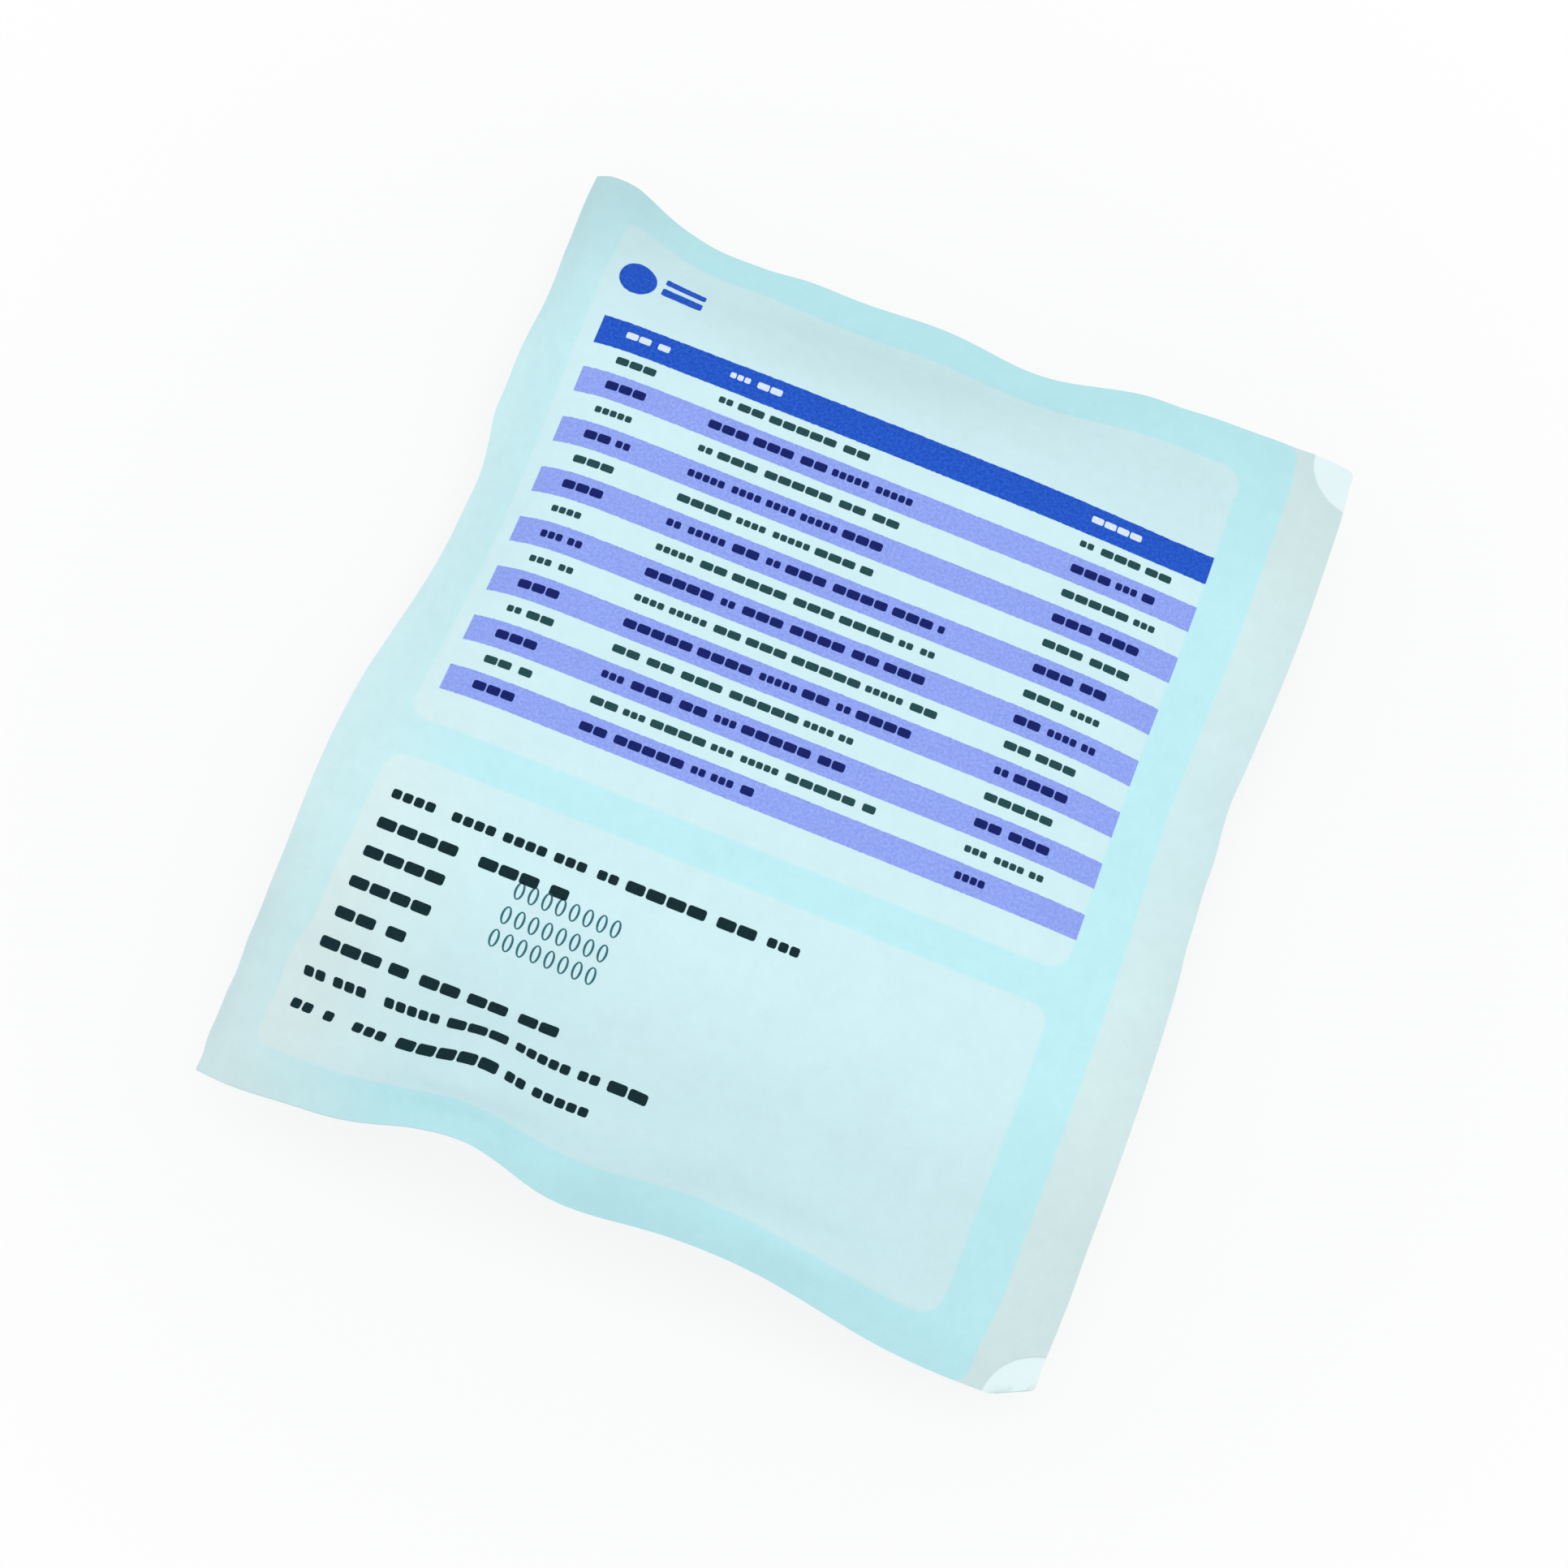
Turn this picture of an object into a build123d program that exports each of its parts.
from build123d import *
import math
import os

# A sealed peel pack, lying on its back as it comes to rest on a bench. A sheet of printed paper is welded
# all round to a web of soft film, and the film is drawn down into one shallow pocket for the contents.
# Paper, film and the unseen contents are one closed solid. The lines of print run along +X, the top of
# the page is at +Y, and the pack stands on the flat floor of its pocket at z = 0.

# Page: the paper as it was cut, before the contents pull it out of flat.
page_width = 120.0
page_height = 146.0
paper_thickness = 0.15
film_thickness = 0.25

# Pocket: drawn film under the page, with sloping walls and a rounded plan and floor edge.
pack_depth = 17.0
side_seal_width = 9.0
end_seal_width = 11.0
pocket_wall_angle = 33.0
pocket_corner_radius = 20.0
pocket_floor_radius = 7.0

# Peel corners: a round punch takes the paper away at both right-hand corners and leaves the film.
# Its centre lies past the side edge, and a little past the page's end, less at the top than at the bottom.
peel_punch_radius = 7.8
peel_punch_overhang = 1.6
top_punch_overhang = 0.1
bottom_punch_overhang = 0.8
film_corner_radius = 1.0

# The paper is laid over the contents as a net of points, and eases into place in a few rounds.
sheet_columns = 40
sheet_rows = 48
laying_rounds = 8

# Swells and sags of the paper. Each one has its centre, x from the left and y from the bottom of the
# page, its height as a share of the pack's depth, and how far it reaches along x and along y.
sheet_swells = [
    # the top edge hangs in two long sags and lifts a little towards its right-hand end
    (21.0, page_height + 2.0, -0.53, 14.0, 15.0),
    (44.0, page_height - 3.0, -0.42, 16.0, 10.0),
    (72.0, page_height - 3.0, -0.47, 17.0, 9.0),
    (103.0, page_height - 5.0, -0.23, 17.0, 18.0),
    # the left edge drops along its upper half and again, more narrowly, near its foot, under a curled tip
    (-2.5, page_height - 14.0, -0.58, 5.0, 14.5),
    (0.0, page_height - 55.5, -0.68, 10.0, 32.0),
    (-3.0, 21.0, -0.48, 5.5, 24.5),
    (-1.0, 0.5, 0.13, 5.0, 5.0),
    # the right edge sags once, above its middle, and stays up below it
    (page_width + 4.0, page_height - 59.0, -0.44, 19.0, 24.5),
    (page_width + 4.0, 41.0, 0.09, 9.0, 11.0),
    # the bottom edge curls up in a high crest, a lower, longer one and a saddle between them
    (22.0, 0.5, 0.31, 17.0, 8.5),
    (30.0, 1.5, 0.05, 6.0, 6.0),
    (38.5, 4.5, 0.56, 11.0, 7.0),
    (60.0, 0.5, 0.40, 16.0, 10.0),
    (79.0, 7.5, 0.38, 22.5, 6.0),
    # above the high crest a short ridge runs up the page, with a low, broad shoulder beside it
    (37.0, 16.5, 0.22, 8.0, 5.0),
    (55.0, 20.5, 0.13, 9.0, 9.0),
]
foot_sag = -0.135
foot_sag_reach = 15.0


def bell(distance, reach):
    """A smooth hump: 1 at its centre, and nearly 0 from twice its reach outwards."""
    return math.exp(-((distance / reach) ** 2))


def paper_height(x, y):
    """Height of the paper above the floor, at a place measured from the middle of the page."""
    from_left = x + page_width / 2
    from_bottom = y + page_height / 2
    share = 1 + foot_sag * bell(from_bottom, foot_sag_reach)
    for centre_x, centre_y, rise, reach_x, reach_y in sheet_swells:
        share += rise * bell(from_left - centre_x, reach_x) * bell(from_bottom - centre_y, reach_y)
    return pack_depth * share


def paced_out(heights, places, pace):
    """New places for points that lie one pace apart along the paper, on the slope that they met before."""
    moved = [0.0]
    for index in range(len(places) - 1):
        slope = (heights[index + 1] - heights[index]) / (places[index + 1] - places[index])
        moved.append(moved[-1] + pace / math.hypot(1, slope))
    last = len(moved) - 1
    middle = (moved[last // 2] + moved[(last + 1) // 2]) / 2
    return [place - middle for place in moved]


def laid_paper():
    """Points on the paper face, row by row: paper doesn't stretch, so a slope draws its edge inwards."""
    pace_x = page_width / sheet_columns
    pace_y = page_height / sheet_rows
    across = [[pace_x * i - page_width / 2 for i in range(sheet_columns + 1)] for j in range(sheet_rows + 1)]
    along = [[pace_y * j - page_height / 2 for i in range(sheet_columns + 1)] for j in range(sheet_rows + 1)]
    for _ in range(laying_rounds):
        heights = [list(map(paper_height, *rows)) for rows in zip(across, along)]
        across = [paced_out(*rows, pace_x) for rows in zip(heights, across)]
        columns = [paced_out(*lines, pace_y) for lines in zip(zip(*heights), zip(*along))]
        along = [list(row) for row in zip(*columns)]
    return [[(x, y, paper_height(x, y)) for x, y in zip(*rows)] for rows in zip(across, along)]


def sheet_layer(net, upper_drop, lower_drop):
    """The solid between two levels under the paper's face, closed by walls along its four edges."""
    levels = [[[(x, y, z - drop) for x, y, z in row] for row in net] for drop in (upper_drop, lower_drop)]
    upper, lower = [Face.make_surface_from_array_of_points(level) for level in levels]
    walls = []
    for edge in upper.edges():
        partner = min(lower.edges(), key=lambda other: (other.center() - edge.center()).length)
        walls.append(Face.make_surface_from_curves(edge, partner))
    return Solid(Shell([upper, lower, *walls]))


def drawn_block(height):
    """A rounded block that spreads upwards from the pocket's floor."""
    spread = pack_depth * math.tan(math.radians(pocket_wall_angle))
    floor_width = page_width - 2 * (side_seal_width + spread)
    floor_height = page_height - 2 * (end_seal_width + spread)
    floor = RectangleRounded(floor_width, floor_height, pocket_corner_radius)
    block = extrude(floor, height, taper=-pocket_wall_angle)
    return fillet(block.faces().sort_by(Axis.Z)[0].edges(), pocket_floor_radius)


def filled_pocket(net):
    """The drawn film pocket with what fills it, up to the middle of the welded sheet above it."""
    highest = max(z for row in net for _, _, z in row)
    middle_of_sheet = (paper_thickness + film_thickness) / 2
    return drawn_block(highest) & sheet_layer(net, middle_of_sheet, highest)


def cut_peel_corners(pack, net):
    """Punch the paper away at the right-hand corners, and round the film corners left under it."""
    paper = sheet_layer(net, -paper_thickness, paper_thickness)
    corners = ((-1, net[0][-1], bottom_punch_overhang), (1, net[-1][-1], top_punch_overhang))
    for side, corner, end_overhang in corners:
        overhang = Pos(peel_punch_overhang, side * end_overhang)
        pack -= Pos(*corner) * overhang * Cylinder(peel_punch_radius, pack_depth) & paper
        inset = Pos(-film_corner_radius, -side * film_corner_radius)
        square = Box(2 * film_corner_radius, 2 * film_corner_radius, pack_depth)
        pack -= Pos(*corner) * (square - inset * Cylinder(film_corner_radius, pack_depth))
    return pack


def sealed_pouch():
    """The whole pack as one solid, centred over the origin."""
    net = laid_paper()
    welded_sheet = sheet_layer(net, 0, paper_thickness + film_thickness)
    pack = cut_peel_corners(welded_sheet + filled_pocket(net), net)
    middle = pack.bounding_box().center()
    return Pos(-middle.X, -middle.Y) * pack


os.makedirs("parts", exist_ok=True)
export_step(sealed_pouch(), "parts/sealed_pouch.step")
